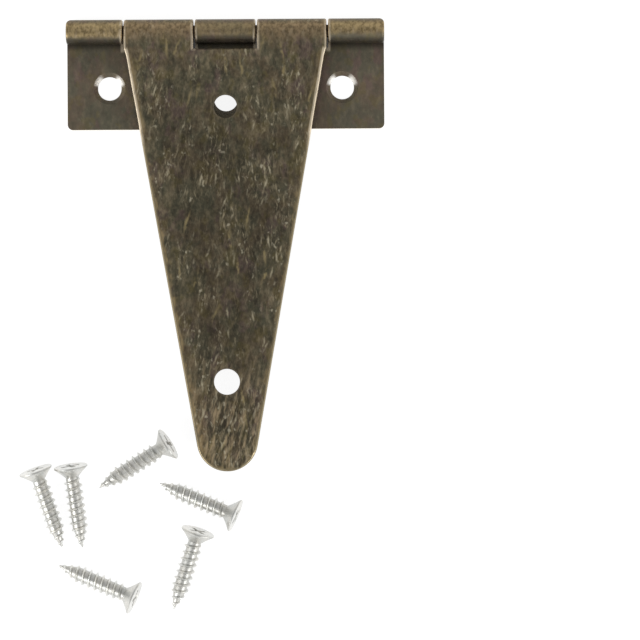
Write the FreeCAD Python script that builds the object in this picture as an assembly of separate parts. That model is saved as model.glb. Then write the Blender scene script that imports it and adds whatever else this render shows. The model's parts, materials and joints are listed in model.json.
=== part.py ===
"""A T hinge of rolled sheet steel: a jamb leaf, a tapering strap leaf, the pin they share, and six screws.

Millimetres, +Z up. The jamb leaf lies flat on z = 0 with its barrel upwards, and the pin runs along X above
the origin. The strap leaf is folded over it, so both leaves reach towards -Y. The screws lie beside them.
"""
import FreeCAD, Part
import math
import os

V = FreeCAD.Vector
X_AXIS = V(1, 0, 0)
Y_AXIS = V(0, 1, 0)
Z_AXIS = V(0, 0, 1)

# the sheet, the pin and how they fit
SHEET = 1.1               # thickness of both leaves
PIN_DIAMETER = 2.4
PIN_CLEARANCE = 0.05      # all round, between the pin and the rolled knuckles
CURL_GAP = 0.12           # from the free end of the roll to the leaf that it closes on
EDGE_ROUND = 0.38         # the rounded edge that blanking leaves on the flush side
NOTCH_BREAK = 0.2         # the smaller break along the notches and the knuckles' facing ends

# the row of knuckles, measured along the pin from the middle of the hinge
CENTRE_KNUCKLE = 11.5     # whole length, on the jamb leaf
STRAP_KNUCKLE = 13.2      # each of the two on the strap leaf
KNUCKLE_GAP = 0.3         # between neighbouring knuckles
JAMB_NOTCH_GAP = 0.7      # from the strap's knuckles to the edge of the jamb leaf's notches
STRAP_NOTCH_GAP = 1.1     # from the centre knuckle to the edge of the strap leaf's notch

# the jamb leaf
JAMB_WIDTH = 60.4
JAMB_REACH = 18.5         # from the pin's axis to the outer edge
JAMB_CORNER = 1.0
BARREL_CORNER = 1.15      # where the two ends of the barrel turn
JAMB_HOLE = 4.5
JAMB_HOLE_SPACING = 44.4  # between the two outer holes
OUTER_HOLE_REACH = 10.6   # from the pin's axis
MIDDLE_HOLE_REACH = 12.75

# the strap leaf
STRAP_REACH = 83.6        # from the pin's axis to the tip
STRAP_TAPER = 10.0        # degrees, each side
STRAP_ROOT = 39.2         # width that the tapered sides would have at the pin's axis
TIP_RADIUS = 5.8
SHOULDER_START = 3.2      # from the pin's axis, where the knuckles' full width ends
SHOULDER_LENGTH = 1.6
ROOT_HOLE = 4.4
ROOT_HOLE_REACH = 14.45
TIP_HOLE = 4.9
TIP_HOLE_REACH = 66.6

# every hole is countersunk on the barrel side
COUNTERSINK_ANGLE = 90.0
COUNTERSINK_DEPTH = 0.8

# the pin
PIN_RECESS = 0.6          # each end sits this far inside the barrel
PIN_CHAMFER = 0.3

# the screws
SCREW_LENGTH = 16.0
SCREW_DIAMETER = 3.5
SCREW_HEAD = 6.4
SCREW_RIM = 0.35          # upright edge of the head
SCREW_POINT = 4.2         # length of the tapered point
RECESS_SPAN = 3.6         # the cross in the head, from end to end
RECESS_SLOT = 0.8         # width of its arms
RECESS_DEPTH = 1.5
RECESS_DRAFT = 35.0       # degrees that the ends of the arms slope inwards
SCREW_GAP = 0.4           # between two heads side by side

# where the middle of each screw lies: in heads with their gap from the strap's middle line, in screw
# lengths from the strap's tip, and the way the point turns from +X, in degrees
SCREW_PLACES = {
    "screw_1": (-5.02, -0.44, -72),
    "screw_2": (-4.25, -0.42, -83),
    "screw_3": (-2.63, 0.07, -148),
    "screw_4": (-0.85, -0.34, 157),
    "screw_5": (-3.69, -1.31, 157),
    "screw_6": (-1.20, -1.18, -108),
}

# what follows from them
BORE_RADIUS = PIN_DIAMETER / 2 + PIN_CLEARANCE
BARREL_RADIUS = BORE_RADIUS + SHEET
AXIS_POINT = V(0, 0, BARREL_RADIUS)
CENTRE_END = CENTRE_KNUCKLE / 2
STRAP_INNER = CENTRE_END + KNUCKLE_GAP
STRAP_OUTER = STRAP_INNER + STRAP_KNUCKLE
JAMB_INNER = STRAP_OUTER + KNUCKLE_GAP
NEAR = SHEET / 1000       # what counts as the same place


def on_roll(radius, degrees):
    """A point of a leaf's section, on a circle about the pin's axis; the angle turns from +Y towards +Z."""
    angle = math.radians(degrees)
    return AXIS_POINT + V(0, radius * math.cos(angle), radius * math.sin(angle))


def arc(start, middle, end):
    """A circular arc through three points."""
    return Part.Arc(start, middle, end).toShape()


def line(start, end):
    """A straight edge."""
    return Part.makeLine(start, end)


def rolled_section(reach):
    """A leaf seen from its end: flat on z = 0 from -Y to the axis, then rolled up round the pin and shut."""
    start = -90
    closing = (BARREL_RADIUS - SHEET - CURL_GAP) / BARREL_RADIUS
    end = 180 + math.degrees(math.asin(closing))
    middle = (start + end) / 2
    outer = [on_roll(BARREL_RADIUS, angle) for angle in (start, middle, end)]
    inner = [on_roll(BORE_RADIUS, angle) for angle in (end, middle, start)]
    edge_low = V(0, -reach, 0)
    edge_high = V(0, -reach, SHEET)
    edges = [
        line(edge_low, outer[0]),
        arc(*outer),
        line(outer[-1], inner[0]),
        arc(*inner),
        line(inner[-1], edge_high),
        line(edge_high, edge_low),
    ]
    return Part.Face(Part.Wire(edges))


def mirrored_outline(edges):
    """The face inside an outline whose +X half is given, from the barrel to the middle of the outer edge."""
    other_half = [edge.mirror(V(0, 0, 0), X_AXIS) for edge in edges]
    ordered = Part.__sortEdges__(edges + other_half)
    return Part.Face(Part.Wire(ordered))


def jamb_outline():
    """The jamb leaf in plan: a rectangle whose two outer corners are rounded."""
    half = JAMB_WIDTH / 2
    centre = V(half - JAMB_CORNER, JAMB_CORNER - JAMB_REACH, 0)
    diagonal = JAMB_CORNER / math.sqrt(2)
    side_end = centre + V(JAMB_CORNER, 0, 0)
    edge_start = centre - V(0, JAMB_CORNER, 0)
    edges = [
        line(V(0, BARREL_RADIUS, 0), V(half, BARREL_RADIUS, 0)),
        line(V(half, BARREL_RADIUS, 0), side_end),
        arc(side_end, centre + V(diagonal, -diagonal, 0), edge_start),
        line(edge_start, V(0, -JAMB_REACH, 0)),
    ]
    return mirrored_outline(edges)


def strap_outline():
    """The strap leaf in plan: full width at the knuckles, a shoulder, tapering sides and a round tip."""
    taper = math.radians(STRAP_TAPER)
    shoulder = SHOULDER_START + SHOULDER_LENGTH
    top = V(STRAP_OUTER, BARREL_RADIUS, 0)
    knuckle_end = V(STRAP_OUTER, -SHOULDER_START, 0)
    side_start = V(STRAP_ROOT / 2 - shoulder * math.tan(taper), -shoulder, 0)
    tip_centre = V(0, TIP_RADIUS - STRAP_REACH, 0)
    side_end = tip_centre + V(TIP_RADIUS * math.cos(taper), -TIP_RADIUS * math.sin(taper), 0)
    half_turn = (math.pi / 2 - taper) / 2 + taper
    tip_middle = tip_centre + V(TIP_RADIUS * math.cos(half_turn), -TIP_RADIUS * math.sin(half_turn), 0)
    edges = [
        line(V(0, BARREL_RADIUS, 0), top),
        line(top, knuckle_end),
        line(knuckle_end, side_start),
        line(side_start, side_end),
        arc(side_end, tip_middle, V(0, -STRAP_REACH, 0)),
    ]
    return mirrored_outline(edges)


def blank_and_roll(outline, half_width, reach):
    """A leaf without its notches: the rolled section drawn out along the pin and trimmed to its plan."""
    sheet = rolled_section(reach).extrude(V(2 * half_width, 0, 0))
    sheet.translate(V(-half_width, 0, 0))
    trim = outline.extrude(V(0, 0, 4 * BARREL_RADIUS))
    trim.translate(V(0, 0, -BARREL_RADIUS))
    return sheet.common(trim)


def notch(start, end, depth):
    """The room for the other leaf's knuckle, from start to end along the pin, out to depth from its axis."""
    height = 4 * BARREL_RADIUS
    return Part.makeBox(end - start, depth + height, height, V(start, -depth, -BARREL_RADIUS))


def screw_hole(diameter, x, reach):
    """A hole through a leaf, with its countersink opening upwards on the barrel side."""
    radius = diameter / 2
    slope = math.tan(math.radians(COUNTERSINK_ANGLE / 2))
    depth = 2 * COUNTERSINK_DEPTH
    bore = Part.makeCylinder(radius, 3 * SHEET, V(x, -reach, -SHEET))
    cone = Part.makeCone(radius, radius + depth * slope, depth, V(x, -reach, SHEET - COUNTERSINK_DEPTH))
    return bore.fuse(cone)


def flush_edges(leaf):
    """The edges round the flush side of a leaf, without the lines where the flat runs into the roll."""
    def meets_roll(edge):
        return abs(edge.CenterOfMass.y) < NEAR and abs(edge.tangentAt(edge.FirstParameter).x) > 0.99

    flush = min(leaf.Faces, key=lambda face: face.CenterOfMass.z)
    return [edge for edge in flush.OuterWire.Edges if not meets_roll(edge)]


def cut_notches(leaf, spans, depth):
    """The leaf with a notch for each span along the pin, and the notches' edges broken on the flush side."""
    def in_notch(edge):
        middle = edge.CenterOfMass
        beside = [start - NEAR < middle.x < end + NEAR for start, end in spans]
        return any(beside) and middle.y > -depth - NEAR

    leaf = leaf.cut([notch(start, end, depth) for start, end in spans])
    sharp = [edge for edge in flush_edges(leaf) if in_notch(edge)]
    return leaf.makeChamfer(NOTCH_BREAK, sharp)


def barrel_corner(side):
    """What comes off one end of the barrel, so that it turns in plan with a radius instead of a corner."""
    height = 4 * BARREL_RADIUS
    start = V(JAMB_WIDTH / 2 - BARREL_CORNER, BARREL_RADIUS - BARREL_CORNER, -BARREL_RADIUS)
    block = Part.makeBox(2 * BARREL_CORNER, 2 * BARREL_CORNER, height, start)
    waste = block.cut(Part.makeCylinder(BARREL_CORNER, height, start))
    return waste if side > 0 else waste.mirror(V(0, 0, 0), X_AXIS)


def jamb_leaf():
    """The rectangular leaf, with the centre knuckle and the two end knuckles."""
    leaf = blank_and_roll(jamb_outline(), JAMB_WIDTH / 2, JAMB_REACH)
    leaf = leaf.makeFillet(EDGE_ROUND, flush_edges(leaf))
    spans = [(CENTRE_END, JAMB_INNER), (-JAMB_INNER, -CENTRE_END)]
    leaf = cut_notches(leaf, spans, BARREL_RADIUS + JAMB_NOTCH_GAP)
    cuts = [screw_hole(JAMB_HOLE, 0, MIDDLE_HOLE_REACH)]
    for side in (-1, 1):
        cuts.append(screw_hole(JAMB_HOLE, side * JAMB_HOLE_SPACING / 2, OUTER_HOLE_REACH))
        cuts.append(barrel_corner(side))
    return leaf.cut(cuts)


def strap_leaf():
    """The tapering leaf with its two knuckles, made as the jamb leaf is and then folded over it."""
    leaf = blank_and_roll(strap_outline(), STRAP_OUTER, STRAP_REACH)
    leaf = leaf.makeFillet(EDGE_ROUND, flush_edges(leaf))
    leaf = cut_notches(leaf, [(-STRAP_INNER, STRAP_INNER)], BARREL_RADIUS + STRAP_NOTCH_GAP)
    holes = [screw_hole(ROOT_HOLE, 0, ROOT_HOLE_REACH), screw_hole(TIP_HOLE, 0, TIP_HOLE_REACH)]
    leaf = leaf.cut(holes)
    leaf.rotate(V(0, 0, 0), Z_AXIS, 180)
    leaf.rotate(AXIS_POINT, X_AXIS, 180)
    return leaf


def hinge_pin():
    """The plain pin through all five knuckles, its ends chamfered and a little inside the barrel."""
    length = JAMB_WIDTH - 2 * PIN_RECESS
    pin = Part.makeCylinder(PIN_DIAMETER / 2, length, V(-length / 2, 0, BARREL_RADIUS), X_AXIS)
    ends = [edge for edge in pin.Edges if abs(abs(edge.CenterOfMass.x) - length / 2) < NEAR]
    return pin.makeChamfer(PIN_CHAMFER, ends)


def recess_arm():
    """One bar of the cross recess, sunk from x = 0, its ends sloping in towards the middle of the head."""
    half_top = RECESS_SPAN / 2
    half_floor = half_top - RECESS_DEPTH * math.tan(math.radians(RECESS_DRAFT))
    side = -RECESS_SLOT / 2
    corners = [(0, half_top), (RECESS_DEPTH, half_floor), (RECESS_DEPTH, -half_floor), (0, -half_top)]
    profile = Part.makePolygon([V(x, y, side) for x, y in corners + corners[:1]])
    return Part.Face(profile).extrude(V(0, 0, RECESS_SLOT))


def upright_screw():
    """A countersunk wood screw along +X, the top of its head at x = 0."""
    head = SCREW_HEAD / 2
    shank = SCREW_DIAMETER / 2
    neck = SCREW_RIM + (head - shank) / math.tan(math.radians(COUNTERSINK_ANGLE / 2))
    profile = [
        V(0, 0, 0),
        V(0, 0, head),
        V(SCREW_RIM, 0, head),
        V(neck, 0, shank),
        V(SCREW_LENGTH - SCREW_POINT, 0, shank),
        V(SCREW_LENGTH, 0, 0),
        V(0, 0, 0),
    ]
    body = Part.Face(Part.makePolygon(profile)).revolve(V(0, 0, 0), X_AXIS, 360)
    arm = recess_arm()
    crossing = arm.copy()
    crossing.rotate(V(0, 0, 0), X_AXIS, 90)
    return body.cut([arm, crossing])


def lying_screw(across, along, heading):
    """A screw on z = 0, resting on the rim of its head and on the last full turn of its thread."""
    head = SCREW_HEAD / 2
    drop = head - SCREW_DIAMETER / 2
    run = SCREW_LENGTH - SCREW_POINT - SCREW_RIM
    screw = upright_screw()
    screw.translate(V(-SCREW_RIM, 0, head))
    screw.rotate(V(0, 0, 0), Y_AXIS, math.degrees(math.atan2(drop, run)))
    screw.translate(V(-SCREW_LENGTH / 2, 0, 0))
    screw.rotate(V(0, 0, 0), Z_AXIS, heading)
    screw.translate(V(across * (SCREW_HEAD + SCREW_GAP), along * SCREW_LENGTH - STRAP_REACH, 0))
    return screw


def pieces():
    """Every piece of the hinge by its node's name."""
    made = {"jamb_leaf": jamb_leaf(), "strap_leaf": strap_leaf(), "hinge_pin": hinge_pin()}
    for name, place in SCREW_PLACES.items():
        made[name] = lying_screw(*place)
    return made


os.makedirs("parts", exist_ok=True)
for node, shape in pieces().items():
    shape.exportStep(f"parts/{node}.step")
    print(f"{node}: {len(shape.Solids)} solid, {shape.Volume:.1f} mm3")
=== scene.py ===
# %% [markdown]
# A surface-fixed T hinge, as used on shed doors and garden gates. Two leaves of rolled sheet steel turn on
# one pin. The short leaf is screwed to the jamb and the long tapering strap to the door. Here the strap is
# folded over the jamb leaf, as the hinge comes out of its packet, with six of its screws beside it.
#
# The solids come from the packed model and are never moved. This file gives them their finish, replaces the
# plain screws with threaded ones, and sets up the table, the light and the camera.

# %% Load the packed hinge
import json
import math
from dataclasses import dataclass

import bpy
import numpy as np
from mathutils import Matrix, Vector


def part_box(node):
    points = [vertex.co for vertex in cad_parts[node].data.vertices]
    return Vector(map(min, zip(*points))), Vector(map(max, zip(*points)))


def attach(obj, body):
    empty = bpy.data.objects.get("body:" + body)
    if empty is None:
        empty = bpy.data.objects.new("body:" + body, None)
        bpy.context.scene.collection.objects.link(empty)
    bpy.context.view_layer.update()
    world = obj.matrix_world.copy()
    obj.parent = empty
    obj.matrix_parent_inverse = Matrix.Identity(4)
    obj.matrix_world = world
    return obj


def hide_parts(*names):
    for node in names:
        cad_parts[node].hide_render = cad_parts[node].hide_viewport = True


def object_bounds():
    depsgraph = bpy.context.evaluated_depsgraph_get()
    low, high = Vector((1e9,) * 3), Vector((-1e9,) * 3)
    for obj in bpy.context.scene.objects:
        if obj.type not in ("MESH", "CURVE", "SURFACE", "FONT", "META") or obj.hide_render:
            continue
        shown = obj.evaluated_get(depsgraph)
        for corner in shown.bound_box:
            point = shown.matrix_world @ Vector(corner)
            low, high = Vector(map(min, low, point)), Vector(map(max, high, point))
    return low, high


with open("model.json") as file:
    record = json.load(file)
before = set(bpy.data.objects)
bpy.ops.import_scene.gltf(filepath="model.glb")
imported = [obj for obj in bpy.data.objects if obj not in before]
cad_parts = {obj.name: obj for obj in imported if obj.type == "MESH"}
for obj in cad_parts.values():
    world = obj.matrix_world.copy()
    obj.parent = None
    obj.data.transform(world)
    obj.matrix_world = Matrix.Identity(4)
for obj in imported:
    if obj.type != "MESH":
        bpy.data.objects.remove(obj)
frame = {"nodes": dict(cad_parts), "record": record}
cad_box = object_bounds()
nodes = frame["nodes"]
MM = 0.001
print("nodes:", ", ".join(sorted(nodes)))

# %% [markdown]
# A finish is a formula over the surface: how far a point is from the outline, which way it faces, what a
# noise says there. Blender keeps such a formula as a tree of nodes. Wiring one by hand takes dozens of lines,
# so this class wraps one socket and lets Python's own operators add the Math nodes. Any other node comes
# from one method, `node`, that takes its type, its settings and then what goes into its sockets.

# %% Shader formulas
class Formula:
    """One socket of a node tree. Sums, products and steps of formulas are formulas again."""

    def __init__(self, tree, socket):
        self.tree = tree
        self.socket = socket

    def node(self, kind, settings=None, inputs=None, output=0):
        """Adds a node of that kind: its settings are set first, then its sockets, by name or number."""
        made = self.tree.nodes.new("ShaderNode" + kind)
        for name, value in (settings or {}).items():
            setattr(made, name, value)
        for key, value in (inputs or {}).items():
            if isinstance(value, Formula):
                self.tree.links.new(value.socket, made.inputs[key])
            else:
                made.inputs[key].default_value = value
        return Formula(self.tree, made.outputs[output])

    def math(self, operation, first, second=0.0):
        """A Math node on two values or formulas."""
        return self.node("Math", {"operation": operation}, {0: first, 1: second})

    def __add__(self, other):
        return self.math("ADD", self, other)

    def __sub__(self, other):
        return self.math("SUBTRACT", self, other)

    def __rsub__(self, other):
        return self.math("SUBTRACT", other, self)

    def __mul__(self, other):
        return self.math("MULTIPLY", self, other)

    def __abs__(self):
        return self.math("ABSOLUTE", self)

    __radd__ = __add__
    __rmul__ = __mul__

    def least(self, other):
        """The smaller of the two."""
        return self.math("MINIMUM", self, other)

    def most(self, other):
        """The larger of the two."""
        return self.math("MAXIMUM", self, other)

    def step(self, start, end):
        """0 up to start, 1 from end on, and an S-shaped rise between; it falls if start is the larger."""
        inputs = {"Value": self, "From Min": start, "From Max": end}
        return self.node("MapRange", {"interpolation_type": "SMOOTHSTEP"}, inputs)

    def blend(self, low, high):
        """The colour low where this formula is 0, and high where it is 1."""
        return self.node("Mix", {"data_type": "RGBA"}, {0: self, 6: low, 7: high}, output=2)

    def scaled(self, factor):
        """This colour or vector, times a factor."""
        return self.node("VectorMath", {"operation": "SCALE"}, {0: self, "Scale": factor})

    def beside(self, name):
        """Another output of the node that this formula comes from."""
        return Formula(self.tree, self.socket.node.outputs[name])

    def parts(self):
        """The three numbers of a vector."""
        first = self.node("SeparateXYZ", None, {0: self})
        return first, first.beside("Y"), first.beside("Z")


print("a formula has:", ", ".join(name for name in vars(Formula) if not name.startswith("_")))

# %% [markdown]
# A shader adds and multiplies amounts of light, so the values of its colours are linear. The colours here are
# given on the everyday scale from 0 to 255, which isn't linear, so a small helper converts them.

# %% Colours on the everyday scale
def srgb(red, green, blue):
    """A colour from its everyday 0 to 255 values, as the linear values that a shader works with."""
    levels = np.array([red, green, blue]) / 255
    linear = np.where(levels <= 0.04045, levels / 12.92, ((levels + 0.055) / 1.055) ** 2.4)
    return (*linear.tolist(), 1.0)


print("pale brass in linear values:", [round(v, 3) for v in srgb(176, 158, 120)[:3]])

# %% [markdown]
# A finish could be placed by a UV map, but each leaf would have to be unrolled for it and scaled. Here every
# pattern is measured in millimetres on the piece itself, from its Object coordinates. So it stays put when
# the hinge swings, and a scratch keeps its real length.

# %% Start a material
class Finish:
    """A new material with its shader, and the places and facings that its formulas start from."""

    def __init__(self, name):
        self.material = bpy.data.materials.new(name)
        self.material.use_nodes = True
        tree = self.material.node_tree
        self.shader = tree.nodes["Principled BSDF"]
        origin = tree.nodes.new("ShaderNodeTexCoord")
        metres = Formula(tree, origin.outputs["Object"])
        facing = Formula(tree, origin.outputs["Normal"])
        self.place = metres.scaled(1 / MM)
        self.x, self.y, _ = self.place.parts()
        self.facing_x, self.facing_y, self.facing_z = facing.parts()
        self.tree = tree

    def pattern_place(self, stretch, shift, turn=0.0):
        """Where a point falls in a pattern that is turned about Z, stretched (times per mm) and shifted."""
        at = self.place
        if turn:
            settings = {"rotation_type": "Z_AXIS"}
            at = at.node("VectorRotate", settings, {"Vector": at, "Angle": math.radians(turn)})
        return at.node("VectorMath", {"operation": "MULTIPLY_ADD"}, {0: at, 1: stretch, 2: shift})

    def noise(self, stretch, shift=(0, 0, 0), turn=0.0, detail=2.0, roughness=0.5):
        """Soft noise. Stretch is how many changes there are per millimetre each way, turned about Z first."""
        at = self.pattern_place(stretch, shift, turn)
        inputs = {"Vector": at, "Scale": 1.0, "Detail": detail, "Roughness": roughness}
        return at.node("TexNoise", {"noise_dimensions": "3D"}, inputs)

    def feed(self, **links):
        """Links formulas to the shader's sockets; Base_Color stands for Base Color."""
        for name, formula in links.items():
            self.tree.links.new(formula.socket, self.shader.inputs[name.replace("_", " ")])

    def bump(self, height, distance):
        """Feeds the shader's normal with a height formula; distance is what a height of 1 is, in mm."""
        inputs = {"Height": height, "Distance": distance * MM, "Strength": 1.0}
        self.feed(Normal=height.node("Bump", None, inputs))


def finish_node(name, finish):
    """Puts a finish on a solid of the packed model."""
    nodes[name].material_slots[0].material = finish.material
    print(f"{name}: {finish.material.name}, {len(finish.tree.nodes)} nodes")


# %% [markdown]
# Antique brass on a steel hinge starts as bright brass plate. It is blackened in a bath, and then brushed
# along the strap until the brass shows again: on corners, on the crown of the knuckles, and in short pale
# scratches everywhere. So the finish is built the way it is made. First comes the uneven dark patina, from
# brown to grey-green, then the scratches, then the rub on whatever stands proud.
#
# Where a leaf is rubbed depends on its outline, so the outlines come first. Their ends could be typed in, but
# they are measured on the packed solids, so they are right by themselves. Only the taper and the tip are
# given.

# %% The outlines
def leaf_points(name):
    """The corners of a packed solid's triangles, as an array in millimetres."""
    mesh = nodes[name].data
    points = np.empty(3 * len(mesh.vertices))
    mesh.vertices.foreach_get("co", points)
    return points.reshape(-1, 3) / MM


strap_points = leaf_points("strap_leaf")
jamb_points = leaf_points("jamb_leaf")
STRAP_TIP = strap_points[:, 1].min()
KNUCKLES_END = strap_points[:, 0].max()
JAMB_EDGE = jamb_points[:, 1].min()
JAMB_SIDE = jamb_points[:, 0].max()
TIP_RADIUS = 5.8
TAPER = math.radians(10.0)
ROOT_HALF = 19.6           # half the width that the tapered sides would have at the pin
BEVEL = 0.8                # how far a countersink reaches out from its hole
print(f"strap tip at {STRAP_TIP:.1f} mm, knuckles to {KNUCKLES_END:.1f} mm, jamb edge at {JAMB_EDGE:.1f} mm")


def barrel_reach(points):
    """How far from the hinge's middle the corners of a leaf's barrel lie along the pin."""
    return abs(points[points[:, 1] > 1.0, 0])


strap_barrel = barrel_reach(strap_points)
jamb_barrel = barrel_reach(jamb_points)
STRAP_ENDS = (strap_barrel.min(), strap_barrel.max())
strap_knuckle = sum(STRAP_ENDS) / 2
JAMB_ENDS = (jamb_barrel[jamb_barrel < strap_knuckle].max(), jamb_barrel[jamb_barrel > strap_knuckle].min())
print("knuckles face each other at", np.round([STRAP_ENDS, JAMB_ENDS], 2).tolist(), "mm from the middle")

# %% [markdown]
# The holes could be searched for as round rims in the mesh. It is simpler to take their places from the
# record, which lists them as the points where the hinge is fixed. Their size is measured from there.

# %% The holes
def holes_of(points, mount_names):
    """(x, y, radius) of a leaf's holes in mm: places from the record's mounts, and as radius the distance
    from there to the nearest corner of the packed leaf."""
    holes = []
    for mount in frame["record"]["mounts"]:
        if mount["name"] not in mount_names:
            continue
        middle = np.array(mount["pos_m"][:2]) / MM
        half = np.array([mount["dims"].get(f"spacing_{way}_mm", 0) / 2 for way in "xy"])
        for place in np.unique([middle - half, middle + half], axis=0):
            holes.append((*place.tolist(), float(np.linalg.norm(points[:, :2] - place, axis=1).min())))
    return holes


STRAP_HOLES = holes_of(strap_points, ("strap_holes",))
JAMB_HOLES = holes_of(jamb_points, ("jamb_outer_holes", "jamb_middle_hole"))
print("holes (x, y, radius):", [tuple(round(v, 2) for v in hole) for hole in STRAP_HOLES + JAMB_HOLES])

# %% [markdown]
# How far a point lies from an outline could be stored at the corners of the mesh. But a flat sheet has
# corners only along its rims and its holes, and what is drawn between those would be wrong. So each distance
# is a formula too, which holds at every point: a straight side is a line, a round tip and a hole are
# circles, and the nearest of them counts.

# %% The distances in millimetres
def strap_margin(finish):
    """Distance in from the strap's edge: its tapering side, its knuckles' end or its round tip."""
    half = abs(finish.x)
    side = (finish.y * math.tan(TAPER) + ROOT_HALF - half) * math.cos(TAPER)
    side = side.least(KNUCKLES_END - half)
    centre = STRAP_TIP + TIP_RADIUS
    reach = finish.x * finish.x + (finish.y - centre) * (finish.y - centre)
    tip = TIP_RADIUS - reach.math("SQRT", reach)
    return side.least(tip.most(finish.y - centre))


def jamb_margin(finish):
    """Distance in from the jamb leaf's outer edge or its two sides."""
    return (JAMB_SIDE - abs(finish.x)).least(finish.y - JAMB_EDGE)


def hole_distance(finish, holes):
    """Distance out from the wall of the nearest hole."""
    nearest = None
    for x, y, radius in holes:
        square = (finish.x - x) * (finish.x - x) + (finish.y - y) * (finish.y - y)
        distance = square.math("SQRT", square) - radius
        nearest = distance if nearest is None else nearest.least(distance)
    return nearest


def end_distance(finish, ends):
    """Distance along the pin from the nearest of the knuckles' facing ends."""
    half = abs(finish.x)
    return abs(half - ends[0]).least(abs(half - ends[1]))


tip_half = ((STRAP_TIP + TIP_RADIUS) * math.tan(TAPER) + ROOT_HALF) * math.cos(TAPER)
print(f"the tapering side passes the tip's centre at {tip_half:.2f} mm, for a tip radius of {TIP_RADIUS} mm")

# %% [markdown]
# Both leaves have the same finish, but the strap was brushed far harder than the jamb leaf. The finish could
# be written out twice, but then each change to it would have to be made in two places. So it is written once,
# and how a leaf was worn is a short list of named values.

# %% How each leaf was worn
@dataclass
class Wear:
    """How one leaf was blackened, brushed and worn."""
    face: int          # which way along Z the brushed side looks
    rub: float         # how hard that side was brushed
    contrast: float    # how strong the patina's mottle is
    gain: float        # how light the patina is
    # Below 0, near is painted shade on the sheet right beside the barrel.
    near: float        # how much lighter the sheet is beside the barrel, or darker if below 0
    base: tuple        # the brown and the olive that the patina starts from
    crown: tuple       # the heights along Y between which the bright crown of the barrel comes in
    crown_rub: float   # how bare the crown is
    tilt: float        # how much further down the crown reaches at the left end, and less at the right, in mm
    # How dark the painted shade in the fold below the barrel is.
    fold_shade: float      # how dark the fold below the barrel is
    brass: tuple       # the dark and the light colour of the crown


STRAP_WEAR = Wear(
    face=1, rub=1.0, contrast=1.0, gain=1.0, near=0.35,
    crown=(-2.9, 0.7), crown_rub=0.75, tilt=0.0, fold_shade=0.0,
    base=(srgb(80, 71, 56), srgb(75, 71, 56)),
    brass=(srgb(112, 96, 72), srgb(170, 147, 114)),
)
JAMB_WEAR = Wear(
    face=-1, rub=0.3, contrast=0.34, gain=1.36, near=-0.55,
    crown=(-1.5, -0.3), crown_rub=0.95, tilt=0.3, fold_shade=0.55,
    base=(srgb(80, 71, 60), srgb(75, 71, 60)),
    brass=(srgb(123, 107, 77), srgb(177, 156, 116)),
)
print(f"brushing: {STRAP_WEAR.rub} on the strap, {JAMB_WEAR.rub} on the jamb leaf")

# %% [markdown]
# The finish is a stack of coats. Each coat is a colour that is blended over those below it where its mask
# says so, a mask being a formula between 0 and 1. Several coats share the same distances and masks, such as
# how far a point is from the edge or whether it lies on the brushed side. Each coat could work them out
# again, but a tree of nodes is quicker to render when it holds them once, so a leaf's finish keeps them.

# %% What the coats share
class Leaf(Finish):
    """The finish of one leaf: its colour so far, and the distances in mm and the masks that coats share.
    A coat is a function that changes the colour, and it may leave a mask here for the coats after it."""

    def __init__(self, name, margin, holes, ends, wear):
        super().__init__(name)
        self.wear = wear
        self.colour, self.olive = wear.base
        self.edge = margin(self)
        self.hole = hole_distance(self, holes)
        self.end = end_distance(self, ends)
        self.brushed = (self.facing_z * wear.face).step(-0.3, 0.6)
        self.rub = self.brushed * wear.rub
        # A mask of the faces that look towards +Y, away from the near lamps; coats darken these as painted
        # shade.
        self.far_side_shade = self.facing_y.step(0.45, 0.85)
        self.tip = self.y.step(-56, -78)
        self.jitter = self.noise((0.9, 0.5, 0.9), (60, 3, 8), detail=3.0)
        self.mottle = self.noise((0.80, 0.34, 0.80), (3, 50, 2), detail=5.0, roughness=0.62)
        patches = self.noise((0.26, 0.13, 0.26), (12, 40, 3), detail=4.0)
        self.patches = patches.step(0.42, 0.60).most(self.tip)

    def lay(self, *layers):
        """Blends layers over the colour, the lowest first: each is a mask, its strength and its colour."""
        for mask, strength, colour in layers:
            self.colour = (mask * strength).blend(self.colour, colour)


LEAVES = {
    "strap_leaf": Leaf("brass_strap", strap_margin, STRAP_HOLES, STRAP_ENDS, STRAP_WEAR),
    "jamb_leaf": Leaf("brass_jamb", jamb_margin, JAMB_HOLES, JAMB_ENDS, JAMB_WEAR),
}


def coat_leaves(coat):
    """Lays one coat on both leaves, and says how far their trees of nodes have grown."""
    for leaf in LEAVES.values():
        coat(leaf)
    print(f"{coat.__name__}:", [len(leaf.tree.nodes) for leaf in LEAVES.values()], "nodes so far")


print("before the first coat:", [len(leaf.tree.nodes) for leaf in LEAVES.values()], "nodes")

# %% [markdown]
# The blackening bath leaves an uneven dark coat. A single noise would look like clouds on a wall, so several
# are used, each at the scale of something real: broad patches where the bath was warmer, stains of a few
# millimetres, and a mottle that follows the grain of the rolled sheet. Hands and packing then rub the coat
# lighter near the edges and near the barrel. Painted shade then darkens the jamb leaf's sheet right beside
# its barrel, and every face that looks towards +Y.

# %% The patina
PLUM, OCHRE, GREY_GREEN = srgb(82, 70, 63), srgb(84, 76, 46), srgb(65, 67, 55)
SOOT, SAND = srgb(44, 40, 33), srgb(118, 107, 86)


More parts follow.
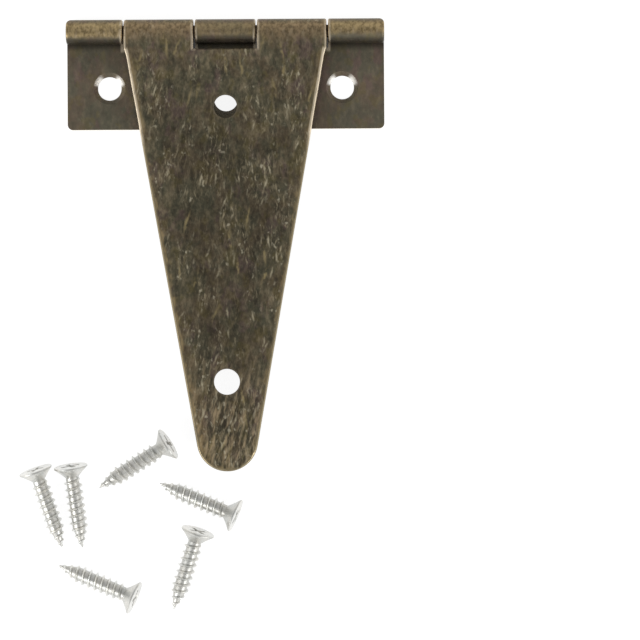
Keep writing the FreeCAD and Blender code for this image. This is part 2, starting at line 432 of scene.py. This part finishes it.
def patina(leaf):
    """The uneven dark coat. Broad patches of olive and plum on brown take smaller stains of ochre and
    grey-green. Then two finer noises darken it below one threshold and lighten it above another."""
    contrast = leaf.wear.contrast
    stained = 0.25 + 0.25 * contrast
    tint = leaf.noise((0.20, 0.14, 0.20), (31, 9, 5), detail=3.0)
    clouds = leaf.noise((0.26, 0.17, 0.26), (7, 3, 1), detail=4.0, roughness=0.6)
    stain = leaf.noise((0.55, 0.38, 0.55), (16, 27, 4), detail=3.0)
    fine = leaf.noise((1.7, 1.2, 1.7), (8, 1, 6), detail=2.0)
    leaf.lay(
        (tint.step(0.44, 0.54), 1.0, leaf.olive),
        (clouds.step(0.54, 0.64), 1.0, PLUM),
        (stain.step(0.53, 0.64), stained, OCHRE),
        (stain.step(0.46, 0.36), stained * 0.8, GREY_GREEN),
        (leaf.mottle.step(0.50, 0.32), 0.56 * contrast, SOOT),
        (leaf.mottle.step(0.50, 0.70), 0.56 * contrast, SAND),
        (fine.step(0.50, 0.32), 0.28 * contrast, SOOT),
        (fine.step(0.50, 0.70), 0.28 * contrast, SAND),
    )


def handling(leaf):
    """Lightens the patina where hands and packing rubbed it: within 7 mm of the edge, near the barrel and in
    a few broad sweeps. On the jamb leaf the sheet right beside the barrel is darkened again as painted shade,
    and faces that look towards +Y, such as the far side of the barrel, are painted darker as shade."""
    sweep = leaf.noise((0.12, 0.06, 0.12), (2, 8, 4), detail=2.0).step(0.35, 0.68)
    amount = leaf.edge.step(7.0, 1.0).most(leaf.y.step(-26, -8) * 1.2) + 0.5 * sweep
    # On the jamb leaf, near is below 0 and paints shade on the sheet beside the barrel.
    amount = amount + leaf.wear.near * leaf.y.step(-9, -4)
    # Painted shade: faces that look towards +Y are darker.
    lightness = leaf.wear.gain * (0.94 + 0.38 * amount) * (1 - 0.25 * leaf.far_side_shade)
    leaf.colour = leaf.colour.scaled(lightness)


coat_leaves(patina)
coat_leaves(handling)

# %% [markdown]
# Scratches from a wire brush lie nearly along the strap, each a little off. Straight lines with random ends
# would look ruled. Here a Voronoi pattern has its cells drawn out along the strap, and the heart of each cell
# becomes one thin needle. Slow noise bends the needles and quick noise breaks them. Five layers lean at
# different angles, so they cross as real scratches do. Wider soft strokes come from drawn-out noise, of which
# only the peaks are taken.

# %% Scratches and strokes
LEANS = ((2, 0), (-7, 17), (11, 31), (-15, 53), (19, 71))   # degrees, and a shift that makes each layer new


def scratches(leaf, cell, size, lean=0.0):
    """Thin scratches nearly along Y, in five layers that lean differently. A layer has one scratch in each
    cell of (across, along) mm: the points nearer to the cell's centre than size cells, which is a needle as
    the cell is long. The cell's random colour, turned grey, says how plain it is. Slow noise bends it, and
    quick noise breaks it up."""
    strongest = None
    for turn, shift in LEANS:
        at = leaf.pattern_place((1 / cell[0], 1 / cell[1], 1), (shift, 2 * shift, 0), turn + lean)
        sway = leaf.noise((0.3, 0.3, 0.3), (shift, 5, 0), detail=3.0).beside("Color")
        bend = {0: sway, 1: (1.2 / cell[0], 0, 0), 2: at}
        at = sway.node("VectorMath", {"operation": "MULTIPLY_ADD"}, bend)
        near = at.node("TexVoronoi", {"voronoi_dimensions": "2D"}, {"Vector": at, "Scale": 1.0})
        layer = near.step(size, 0.0) * near.beside("Color").step(0.35, 0.75)
        strongest = layer if strongest is None else strongest.most(layer)
    return strongest * leaf.noise((1.6, 0.9, 1.6), (9, 9, 2), detail=2.0).step(0.34, 0.60)


def smears(leaf, stretch, low, high, turns, shift):
    """Soft irregular strokes: the strongest of some turned layers of drawn-out noise, above a threshold."""
    strongest = None
    for turn in turns:
        layer = leaf.noise(stretch, (shift + turn, shift, 0), turn, detail=4.0, roughness=0.6)
        layer = layer.step(low, high)
        strongest = layer if strongest is None else strongest.most(layer)
    return strongest


print(f"{len(LEANS)} layers of scratches lean by", [turn for turn, _ in LEANS], "degrees")

# %% [markdown]
# All strokes could be laid evenly, but that would look like a printed pattern. On a real strap the tip is
# rubbed hardest, in broad strokes with dark gaps between them, and further up the strokes come in patches.
# The strongest scratches are laid over the fainter ones.

# %% The brushing
def brushing(leaf):
    """The brushed side, from the dark gaps between broad strokes up to the brightest scratches."""
    faint = scratches(leaf, (0.9, 12.0), 0.20)
    lengthy = scratches(leaf, (5.0, 34.0), 0.09, lean=8.0)
    lower = leaf.y.step(-30, -48)
    leaf.strong = scratches(leaf, (2.3, 13.0), 0.13, lean=4.0) * leaf.patches.most(lower * 0.7) * leaf.rub
    soft = smears(leaf, (1.7, 0.40, 0.4), 0.56, 0.78, (4, -11, 17), 70) * leaf.patches
    broad = smears(leaf, (1.35, 0.24, 0.4), 0.50, 0.72, (9, 17), 20) * leaf.tip
    gaps = smears(leaf, (1.35, 0.24, 0.4), 0.50, 0.34, (9, 17), 20) * leaf.tip
    specks = leaf.noise((1.25, 0.80, 1.25), (44, 6, 7), detail=2.0).step(0.60, 0.76) * leaf.patches
    cheek = leaf.edge.step(3.4, 0.6) * leaf.x.step(-1.5, -5.0) * leaf.tip * leaf.jitter.step(0.32, 0.58)
    worn_edge = leaf.edge.step(1.1, 0.1) * leaf.jitter.step(0.38, 0.60)
    leaf.lay(
        (cheek * leaf.brushed, 0.60, srgb(166, 143, 106)),
        (gaps * leaf.rub, 0.62, srgb(46, 42, 34)),
        (faint * leaf.rub, 0.40, srgb(136, 124, 100)),
        (soft * leaf.rub, 0.80, srgb(178, 165, 136)),
        (lengthy * leaf.rub, 0.80, srgb(160, 144, 104)),
        (broad * leaf.rub, 0.72, srgb(190, 168, 134)),
        (specks * leaf.rub, 0.60, srgb(206, 197, 172)),
        (leaf.strong, 0.85, srgb(208, 197, 168)),
        (worn_edge * leaf.brushed, 0.60, srgb(150, 127, 84)),
    )


coat_leaves(brushing)

# %% [markdown]
# The barrel stands proud, so its crown is rubbed back to brass with dark flecks left in the pores. Just below
# it, where the roll closes on the sheet, the fold is painted almost black as shade. Blender can find what
# stands proud by how sharply the mesh bends, but that follows the triangles and not the metal. The barrel
# lies along X, so a height along Y already says where its crown and its fold are.

# %% The crown of the knuckles
def barrel_crown(leaf):
    """Brass on the crown of the barrel, and painted shade in the fold below it. The crown comes in between
    two heights along Y, with a ragged edge. It has flecks, pale streaks and a painted highlight along its
    crest. The middle knuckle, which lies sheltered between the strap's two, is less rubbed, and its painted
    shade reaches further up."""
    start, end = leaf.wear.crown
    tilt = (leaf.x.step(-12, -18) - leaf.x.step(12, 18)) * leaf.wear.tilt
    crown = (leaf.y + leaf.jitter * 0.8 - 0.4 + tilt).step(start, end)
    # Painted shade: the crown's brass fades where the barrel faces +Y.
    leaf.crown = crown * (1 - 0.75 * leaf.far_side_shade)
    # Painted highlight: the band of the barrel that faces a little towards +Y gets lighter brass.
    crest = leaf.facing_y.step(-0.05, 0.15) * leaf.facing_y.step(0.65, 0.35)
    flecks = leaf.noise((1.7, 1.2, 1.2), (5, 5, 90), detail=3.0, roughness=0.6)
    streaks = leaf.noise((1.3, 0.45, 0.6), (25, 1, 9), detail=3.0).step(0.50, 0.66)
    streaks = streaks * leaf.y.step(0.8, -0.5)
    brass = flecks.step(0.30, 0.66).blend(*leaf.wear.brass)
    # The crest band's brass is lightened as a painted highlight.
    brass = (streaks * 0.5).blend(brass, srgb(200, 180, 150)).scaled(1.0 + 0.18 * crest)
    sheltered = abs(leaf.x).step(STRAP_ENDS[0] + 0.15, STRAP_ENDS[0] - 0.15)
    # Painted shade: the fold below the barrel is darkened almost to black, reaching further up on the
    # sheltered middle knuckle.
    fold = (leaf.y - 0.5 * sheltered).step(start + 0.5, start - 0.3) * leaf.y.step(-3.8, -2.4)
    leaf.lay(
        (leaf.crown * (1 - 0.45 * sheltered), leaf.wear.crown_rub, brass),
        (fold, leaf.wear.fold_shade, srgb(34, 30, 26)),
    )


coat_leaves(barrel_crown)

# %% [markdown]
# Cut edges never had a good coat, and they are the first to rub bare: the sheet's sides, a thin line along
# the rim of the brushed side, and the facing ends of the knuckles. Their pale bare metal also stands in for
# the highlight on their rims. The countersinks were drilled through the coat, and part of each is painted as
# a bright highlight where it faces the near lamps. All this could be painted on by hand, but the distances
# from the outline, from the holes and from the knuckles' ends already say where it belongs.

# %% Bare metal
def bare_metal(leaf):
    """Bare cut edges and countersinks. A halo of half-worn coat runs along the rim, whole near the barrel and
    patchy further down, stronger on the left side as a painted highlight, and a worn ring runs round each
    hole. The bare edges and the knuckles' ends are drawn pale, partly as bare metal and partly as a painted
    highlight on their rims, and part of each countersink is a painted highlight where it faces the near
    lamps. All of it keeps to the sheet, which starts just below the barrel, and lower in the middle, where
    the notch for the middle knuckle is."""
    sheet = leaf.y.step(-3.0, -3.6) * abs(leaf.x).step(8, 9).most(leaf.y.step(-6, -7))
    ragged = leaf.y + leaf.jitter * 6
    # Partly worn coat, partly a painted highlight: the halo is stronger on the left side, where the brighter
    # lamp stands.
    halo = sheet * leaf.edge.step(1.7, 0.3) * leaf.brushed * (0.22 + 0.30 * leaf.x.step(4, -4))
    halo = halo * ragged.step(-22, -14).most(leaf.jitter.step(0.48, 0.66))
    halo = halo * (0.45 + 0.75 * leaf.mottle.step(0.38, 0.62))
    ring = leaf.hole.step(0.42, 0.12) * leaf.jitter.step(0.3, 0.6) * leaf.brushed
    bevel = leaf.hole.step(BEVEL + 0.05, BEVEL - 0.05) * (1 - leaf.brushed)
    side = sheet * abs(leaf.facing_z).step(0.99, 0.75) * leaf.hole.step(BEVEL, BEVEL + 0.1)
    line = sheet * leaf.edge.step(0.66, 0.38) * leaf.brushed * leaf.jitter.step(0.20, 0.5)
    # The knuckles' facing ends are bare metal drawn pale, partly as a painted highlight on their rims.
    # Painted shade dims them where they face +Y.
    ends = leaf.y.step(-4.0, -3.4) * leaf.end.step(0.62, 0.25) * (1 - 0.6 * leaf.far_side_shade)
    ends = ends * leaf.jitter.step(0.3, 0.6).most(leaf.y.step(-0.4, -1.2))
    # Painted highlight: the part of each countersink that faces the near left or the near right is drawn
    # almost white.
    bright = bevel * leaf.facing_y.step(-0.06, -0.24) * abs(leaf.facing_x).step(0.28, 0.52)
    # Bare steel, pale cream near the barrel: partly bare metal, partly a painted highlight on the cut edges.
    bare_steel_and_highlight = ragged.step(-20, -15).blend(srgb(146, 134, 108), srgb(240, 224, 198))
    leaf.bare = side.most(line * 0.8).most(ends * 0.45)
    leaf.bright = bright * (1 - 0.75 * leaf.hole.step(0.10, BEVEL))
    leaf.lay(
        (halo, 1.0, srgb(172, 151, 112)),
        ((ring * 0.5).most(bevel * 0.15), 1.0, srgb(120, 110, 92)),
        (leaf.bare, 1.0, bare_steel_and_highlight),
        # The countersinks' painted highlight, laid last.
        (leaf.bright, 1.0, srgb(252, 250, 245)),
    )


coat_leaves(bare_metal)

# %% [markdown]
# Worn metal is smoother and more metallic than the coat. Roughness and metal could have patterns of their
# own, but then the shine of a scratch would lie beside its colour. So the masks that set the colour set
# these too. The bump lets the mottle stand a little proud and the scratches lie a little below the surface.

# %% The shine
def shine(leaf):
    """Feeds the shader: the colour, and from the same masks the roughness, the metal and a fine grain."""
    worn = 0.10 * leaf.strong + 0.06 * leaf.crown + 0.12 * leaf.bare
    rough = 0.46 + 0.14 * (leaf.mottle - 0.5) + 0.06 * leaf.bright - worn
    metal = leaf.strong.most(leaf.crown).most(leaf.bare).most(leaf.bright)
    leaf.feed(Base_Color=leaf.colour, Roughness=rough, Metallic=0.84 + 0.16 * metal)
    grain = leaf.noise((6.0, 0.5, 0.5), detail=2.0)
    height = grain * 0.4 + leaf.mottle * 0.9 - leaf.strong * 0.5
    leaf.bump(height + (0.65 - height) * leaf.bright, 0.03)


coat_leaves(shine)
for name, leaf in LEAVES.items():
    finish_node(name, leaf)

# %% [markdown]
# The pin is plain drawn steel wire that went through the same blackening bath after it was pressed in, so it
# is dark, with faint rings where the knuckles have turned on it. The rings are far too shallow to be
# modelled. A noise that changes quickly along the pin and slowly across it draws them, and gives the bump.

# %% The pin
def drawn_steel():
    """Dark oxide on wire: rings along X, a little brighter where they are polished."""
    finish = Finish("dark_pin")
    rings = finish.noise((3.5, 0.2, 0.2), detail=3.0)
    bloom = finish.noise((0.5, 1.2, 1.2), (4, 1, 7), detail=3.0)
    colour = (rings.step(0.5, 0.75) * 0.6).blend(srgb(52, 42, 35), srgb(98, 82, 64))
    colour = (bloom.step(0.5, 0.7) * 0.4).blend(colour, srgb(74, 56, 42))
    finish.feed(Base_Color=colour, Roughness=0.38 + 0.2 * bloom)
    finish.shader.inputs["Metallic"].default_value = 0.9
    finish.bump(rings, 0.02)
    return finish


finish_node("hinge_pin", drawn_steel())

# %% [markdown]
# The screws are small countersunk tapping screws with a cross recess. Blender's Screw modifier could sweep a
# thread, but with blunt ends and apart from the head. So each screw is a single closed skin that is worked
# out as a grid: along it runs the profile, from the bottom of the recess over the head and down the thread to
# the point, and round it run the angles.
#
# Where a screw lies is read from the packed solid: its point is the corner furthest from the middle, and the
# rim of its head is what lies furthest from the point.

# %% Where a screw lies
def lie_of(name):
    """Head centre, point, head radius and shank radius of a packed screw, in millimetres."""
    points = np.unique(leaf_points(name).round(4), axis=0)
    point = points[np.linalg.norm(points - points.mean(0), axis=1).argmax()]
    reach = np.linalg.norm(points - point, axis=1)
    rim = points[reach > reach.max() - 0.01]
    head = rim.mean(0)
    axis = (point - head) / np.linalg.norm(point - head)
    along = (points - head) @ axis
    out = np.linalg.norm(points - head - np.outer(along, axis), axis=1)
    return head, point, out.max(), out[along > along.max() / 2].max()


head, point, HEAD_RADIUS, SHANK_RADIUS = lie_of("screw_1")
SCREW_LENGTH = float(np.linalg.norm(point - head))
print(f"screw {SCREW_LENGTH:.2f} mm long, head {2 * HEAD_RADIUS:.2f} mm, thread {2 * SHANK_RADIUS:.2f} mm")

# %% [markdown]
# The cross recess has a star-shaped outline, so it can be given as a radius for each angle: along an arm the
# radius ends at the arm's end, and beside it at the arm's flank. The angles of the grid include the corners
# of that outline, which keeps its edges straight.

# %% The screw's head
CORE_RADIUS = 1.22         # everything here is in millimetres
RIM = 0.35
NECK = RIM + (HEAD_RADIUS - CORE_RADIUS) * 0.94
ARM_TOP = (0.40, 1.8)      # half width and half length of the recess's arms, at the top
ARM_FLOOR = (0.24, 0.95)   # the same at its floor
RECESS_DEPTH = 1.15
RECESS_POINT = 1.6


def cross_radius(angle, half_width, half_length):
    """Outline of a cross round the axis: the nearer of the arm's end and its flank at each angle."""
    turn = (angle + math.pi / 4) % (math.pi / 2) - math.pi / 4
    return np.minimum(half_length / np.cos(turn), half_width / np.maximum(abs(np.sin(turn)), 1e-9))


def screw_angles():
    """Even angles round the axis, in a full turn, with the corners of the recess's outlines among them."""
    corners = [math.atan2(*ARM_TOP), math.atan2(*ARM_FLOOR)]
    first = np.array([0, *corners, *(-c for c in corners)])
    quarter = np.arange(4)[:, None] * math.pi / 2
    even = np.arange(40) * math.pi / 20
    angles = np.concatenate([even, (quarter + first).ravel() % (2 * math.pi)])
    return np.append(np.unique(angles.round(6)), 2 * math.pi)


def head_rows(angle):
    """Rows of (distance along the axis, radius, shade) from the recess's floor over the head to the neck."""
    circle = np.ones_like(angle)
    rows = [
        (RECESS_POINT, 0 * circle, 1.0),
        (RECESS_DEPTH, cross_radius(angle, *ARM_FLOOR), 1.0),
        (0.07, cross_radius(angle, *ARM_TOP), 0.9),
        (0.0, cross_radius(angle, *ARM_TOP) + 0.07, 0.0),
        (0.0, (HEAD_RADIUS - 0.12) * circle, 0.0),
        (0.04, (HEAD_RADIUS - 0.04) * circle, 0.0),
        # These rows round the head's rim carry painted shade that darkens the rim.
        (0.12, HEAD_RADIUS * circle, 0.5),
        (RIM - 0.05, HEAD_RADIUS * circle, 0.9),
        (RIM + 0.02, (HEAD_RADIUS - 0.05) * circle, 0.5),
    ]
    slope = HEAD_RADIUS - 0.05 - CORE_RADIUS
    # The underside of the head carries painted shade as well.
    for share in (0.35, 0.7, 0.88, 1.0):
        sink = (1 - share) ** 1.15
        below = RIM + 0.02 + share * (NECK - RIM - 0.02)
        rows.append((below, (CORE_RADIUS + slope * sink) * circle, 0.3 + 0.3 * share))
    along = np.array([row[0] * circle for row in rows])
    return along, np.array([row[1] for row in rows]), np.array([row[2] * circle for row in rows])


angle = screw_angles()
head_part = head_rows(angle)
print(f"head: {head_part[0].shape[0]} rows of {len(angle)} points, from the recess's point to the neck")

# %% [markdown]
# The thread's rows are shifted along the axis by one pitch per turn, so they follow the helix, the crests
# come out sharp, and the end of each turn meets the start of the next one. Rows that would pass the neck or
# the point are held there, and points that then coincide are merged into one. A skin is closed if each edge
# of its triangles is used twice, and its volume is above zero if its faces point outwards.

# %% The thread and the whole skin
PITCH = 1.3
POINT_LENGTH = 4.4
RIDGE = ((0.0, 0.0), (0.26, 0.0), (0.46, 0.94), (0.5, 1.0), (0.54, 0.94), (0.74, 0.0))   # (share, height)


def thread_rows(angle):
    """Rows of the thread. A row of turn m and share s lies at (m + s + angle / full turn) pitches. Core and
    crest narrow to the point as powers of the length that is left, and the first turn rises from the neck."""
    turns = math.ceil((SCREW_LENGTH - NECK) / PITCH) + 1
    share = np.array([m + s for m in range(turns) for s, _ in RIDGE])
    height = np.tile([h for _, h in RIDGE], turns)
    along = NECK + PITCH * (share[:, None] - 1 + angle[None, :] / (2 * math.pi))
    along = np.clip(along, NECK, SCREW_LENGTH)
    left = np.clip((SCREW_LENGTH - along) / POINT_LENGTH, 0, 1)
    core = CORE_RADIUS * np.clip(left * 1.12, 0, 1) ** 0.9
    crest = SHANK_RADIUS * left ** 0.72
    rise = np.clip((along - NECK) / (0.8 * PITCH), 0, 1)
    radius = core + (crest - core) * height[:, None] * rise
    # The thread's roots get painted shade.
    return along, radius, np.broadcast_to(1 - height[:, None], along.shape) * 0.9


def join_skin(angle, head_part, thread_part):
    """The points (distance along the axis, then radius times the angle's cosine and sine), with a shade for
    each, and the triangles that join neighbours in the grid."""
    along, radius, shade = (np.vstack(pair) for pair in zip(head_part, thread_part))
    points = np.stack([along, radius * np.cos(angle), radius * np.sin(angle)], axis=-1)
    rows, columns = along.shape
    corner = np.arange(rows * columns).reshape(rows, columns)
    a, b, c, d = corner[:-1, :-1], corner[:-1, 1:], corner[1:, 1:], corner[1:, :-1]
    triangles = np.concatenate([np.stack([a, b, c], -1), np.stack([a, c, d], -1)]).reshape(-1, 3)
    merged, first, where = np.unique(
        points.reshape(-1, 3).round(5), axis=0, return_index=True, return_inverse=True
    )
    triangles = where.reshape(-1)[triangles]
    apart = (triangles != np.roll(triangles, 1, axis=1)).all(1)
    return merged, shade.reshape(-1)[first], triangles[apart]


skin, skin_shade, skin_triangles = join_skin(angle, head_part, thread_rows(angle))
legs = skin[skin_triangles]
volume = np.einsum("ij,ij->i", legs[:, 0], np.cross(legs[:, 1], legs[:, 2])).sum() / 6
edges = skin_triangles[:, [0, 1, 1, 2, 2, 0]].reshape(-1, 2)
uses = np.unique(np.sort(edges, axis=1), axis=0, return_counts=True)[1]
print(f"screw: {len(skin_triangles)} triangles, {volume:.1f} mm3, edges used twice: {(uses == 2).all()}")

# %% [markdown]
# Bright zinc plate is a thin pale grey metal with a soft shine. It keeps a fine speckle, and it looks darker
# down in the thread and in the recess, where little light gets in and grease collects. The light finds some
# of that by itself. The grid's shade adds the rest as painted shade: it says how far down each point in the
# thread and the recess lies, it also darkens the rim and the underside of the head, and each screw adds an
# even painted shade of its own. It travels with the mesh as an attribute.

# %% Zinc plate and the six screws
def zinc_plate():
    """Bright zinc: speckled pale grey, darker and rougher where the shade attribute is high, which is painted
    shade in the thread, in the recess, round the head's rim and over each screw as a whole.
    """
    finish = Finish("zinc_plate")
    deep_shade = finish.place.node("Attribute", {"attribute_name": "depth"}, output=2)
    speckle = finish.noise((5, 5, 5), detail=3.0)
    bloom = finish.noise((0.6, 0.6, 0.6), (9, 2, 4), detail=3.0)
    colour = bloom.step(0.35, 0.65).blend(srgb(225, 226, 223), srgb(234, 232, 226))
    colour = (speckle.step(0.50, 0.72) * 0.50).blend(colour, srgb(158, 158, 154))
    colour = (deep_shade.step(0.10, 0.85) * 0.42).blend(colour, srgb(148, 147, 141))
    finish.feed(Base_Color=colour, Roughness=0.24 + 0.14 * speckle + 0.12 * deep_shade)
    finish.shader.inputs["Metallic"].default_value = 1.0
    finish.bump(speckle * 0.6 + bloom, 0.02)
    return finish


zinc = zinc_plate()


def lay_screw(name, roll, painted_shade):
    """A threaded screw in the place of a packed one, turned about its own axis by roll degrees. Its last
    value is an even painted shade that is added to its shade attribute everywhere, so that the six screws
    differ in brightness."""
    head, point, _, _ = lie_of(name)
    axis = (point - head) / np.linalg.norm(point - head)
    side = np.cross([0, 0, 1], axis)
    side /= np.linalg.norm(side)
    up = np.cross(axis, side)
    turn = math.radians(roll)
    across = math.cos(turn) * side + math.sin(turn) * up
    upright = np.cross(axis, across)
    placed = head + skin @ np.array([axis, across, upright])
    mesh = bpy.data.meshes.new(name + "_threaded")
    mesh.from_pydata(placed * MM, [], skin_triangles)
    # The shade attribute: the grid's painted shade plus the screw's own.
    mesh.attributes.new("depth", "FLOAT", "POINT").data.foreach_set("value", skin_shade + painted_shade)
    mesh.shade_smooth()
    mesh.set_sharp_from_angle(angle=math.radians(32))
    mesh.materials.append(zinc.material)
    screw = bpy.data.objects.new(name + "_threaded", mesh)
    bpy.context.scene.collection.objects.link(screw)
    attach(screw, "jamb")
    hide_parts(name)
    return screw


# Each screw: its roll in degrees, and the painted shade that darkens the whole screw.
SCREW_LIES = ((20, 0.0), (65, 0.0), (10, 0.4), (38, 0.1), (75, 0.0), (50, 0.15))
for number, (roll, painted_shade) in enumerate(SCREW_LIES, start=1):
    screw = lay_screw(f"screw_{number}", roll, painted_shade)
    print(screw.name, [round(v / MM, 1) for v in screw.dimensions])

# %% [markdown]
# The hinge lies on a plain white table. Light that is strong enough to show a pale table as white would wash
# out the metal. So to the camera and in reflections the table mostly glows, and only the rest of its tone
# comes from the light that falls on it, which keeps the hinge's shadows. To everything else it is just pale.

# %% The table
TABLE_HALF = 1.5     # metres
TABLE_GREY = 0.8     # the share of the light that the table throws back on the hinge
SEEN_GREY = 0.25     # the same share as the camera and reflections see it,
SEEN_GLOW = 0.88     # and the glow that they see with it


def white_table():
    """A large pale square just under the lowest point of the hinge. Its glow stops under the barrel, where
    hardly any light gets in between the knuckles."""
    floor = cad_box[0][2]
    half = TABLE_HALF
    corners = [(-half, -half, floor), (half, -half, floor), (half, half, floor), (-half, half, floor)]
    mesh = bpy.data.meshes.new("table")
    mesh.from_pydata(corners, [], [(0, 1, 2, 3)])
    table = bpy.data.objects.new("table", mesh)
    bpy.context.scene.collection.objects.link(table)
    material = bpy.data.materials.new("white_table")
    material.use_nodes = True
    tree = material.node_tree
    tree.nodes.clear()
    metres = Formula(tree, tree.nodes.new("ShaderNodeTexCoord").outputs["Object"])
    x, y, _ = metres.scaled(1 / MM).parts()
    barrel = abs(x).step(KNUCKLES_END + 1.0, KNUCKLES_END + 0.8) * abs(y + 2.1).step(2.3, 2.1)
    path = tree.nodes.new("ShaderNodeLightPath")
    seen = Formula(tree, path.outputs["Is Camera Ray"]).most(Formula(tree, path.outputs["Is Glossy Ray"]))
    seen = seen.most(Formula(tree, path.outputs["Is Transmission Ray"]))
    matt = seen.node("BsdfDiffuse", None, {"Color": (TABLE_GREY, TABLE_GREY, TABLE_GREY, 1)})
    shaded = seen.node("BsdfDiffuse", None, {"Color": (SEEN_GREY, SEEN_GREY, SEEN_GREY, 1)})
    glow = seen.node("Emission", None, {"Color": (1, 1, 1, 1), "Strength": SEEN_GLOW * (1 - barrel * 0.96)})
    lit = seen.node("AddShader", None, {0: shaded, 1: glow})
    surface = seen.node("MixShader", None, {0: seen, 1: matt, 2: lit})
    output = tree.nodes.new("ShaderNodeOutputMaterial")
    tree.links.new(surface.socket, output.inputs["Surface"])
    mesh.materials.append(material)


white_table()
pin_low, pin_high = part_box("hinge_pin")
pin_height = (pin_low[2] + pin_high[2]) / 2 - cad_box[0][2]
print(f"table {2 * TABLE_HALF:.0f} m square, {pin_height / MM:.2f} mm below the pin's middle")

# %% [markdown]
# Polished metal shows what surrounds it, so under lamps alone it would look almost black. A light tent is
# brightest at its walls and dimmer overhead, where the camera looks in. So a flat face that looks at the
# camera stays dark, and a rounded edge or a knuckle catches a bright wall. The world is that tent, with its
# bright walls at the near left and the near right. Two soft lamps give the light a direction.

# %% The light
def light_tent():
    """A world with a bright wall at the near left and the near right, dimmer overhead and dim behind."""
    world = bpy.data.worlds.new("light_tent")
    bpy.context.scene.world = world
    world.use_nodes = True
    tree = world.node_tree
    look = Formula(tree, tree.nodes.new("ShaderNodeTexCoord").outputs["Generated"])
    x, y, z = look.parts()
    side = x.step(0.1, -0.9) + 0.75 * x.step(-0.1, 0.9)
    walls = side * y.step(0.5, -0.3) * z.step(0.8, 0.25)
    background = tree.nodes["Background"]
    strength = walls * 0.8 + z.step(0.95, 0.5) * 0.25 + 0.5
    tree.links.new(strength.socket, background.inputs["Strength"])
    background.inputs["Color"].default_value = (1.0, 1.0, 1.0, 1.0)


def soft_lamp(name, place, power, size):
    """A square lamp that looks at the hinge's middle. Place and size are in metres, and power in watts."""
    data = bpy.data.lights.new(name, "AREA")
    data.energy = power
    data.size = size
    lamp = bpy.data.objects.new(name, data)
    middle = (np.array(cad_box[0]) + np.array(cad_box[1])) / 2
    aim = middle - np.array(place)
    pan = math.atan2(aim[1], aim[0]) - math.pi / 2
    tilt = math.pi / 2 + math.atan2(aim[2], math.hypot(aim[0], aim[1]))
    lamp.location = place
    lamp.rotation_euler = (tilt, 0, pan)
    bpy.context.scene.collection.objects.link(lamp)
    print(f"{name}: {power} W from {np.linalg.norm(aim):.2f} m away")


light_tent()
soft_lamp("lamp_left", (-0.5, -0.42, 0.38), 1.8, 0.3)
soft_lamp("lamp_right", (0.5, -0.45, 0.38), 1.2, 0.3)

# %% [markdown]
# The camera looks straight down from half a metre, a little turned, through a long lens, so the hinge keeps
# its proportions. Depth of field and shift stay off, so other views of the scene can be made by moving it.
# The Standard view transform shows colours as they were chosen, where Blender's own choice would mute them.

# %% The camera
CAMERA_OVER = (0.01769, -0.0550)   # metres from the pin's middle, with room for the screws and the ground
CAMERA_HEIGHT = 0.5                # metres above the strap
CAMERA_ROLL = -0.35                # degrees
LENS = 148.5                       # millimetres
SENSOR = 36                        # millimetres
camera_data = bpy.data.cameras.new("camera")
camera_data.lens = LENS
camera_data.sensor_width = SENSOR
camera_data.clip_start = 0.01
camera = bpy.data.objects.new("camera", camera_data)
strap_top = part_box("strap_leaf")[1][2]
camera.location = (*CAMERA_OVER, strap_top + CAMERA_HEIGHT)
camera.rotation_euler = (0, 0, math.radians(CAMERA_ROLL))
bpy.context.scene.collection.objects.link(camera)
bpy.context.scene.camera = camera
bpy.context.scene.view_settings.view_transform = "Standard"
print(f"the camera sees {CAMERA_HEIGHT * SENSOR / LENS / MM:.0f} mm across at the strap")

# %% [markdown]
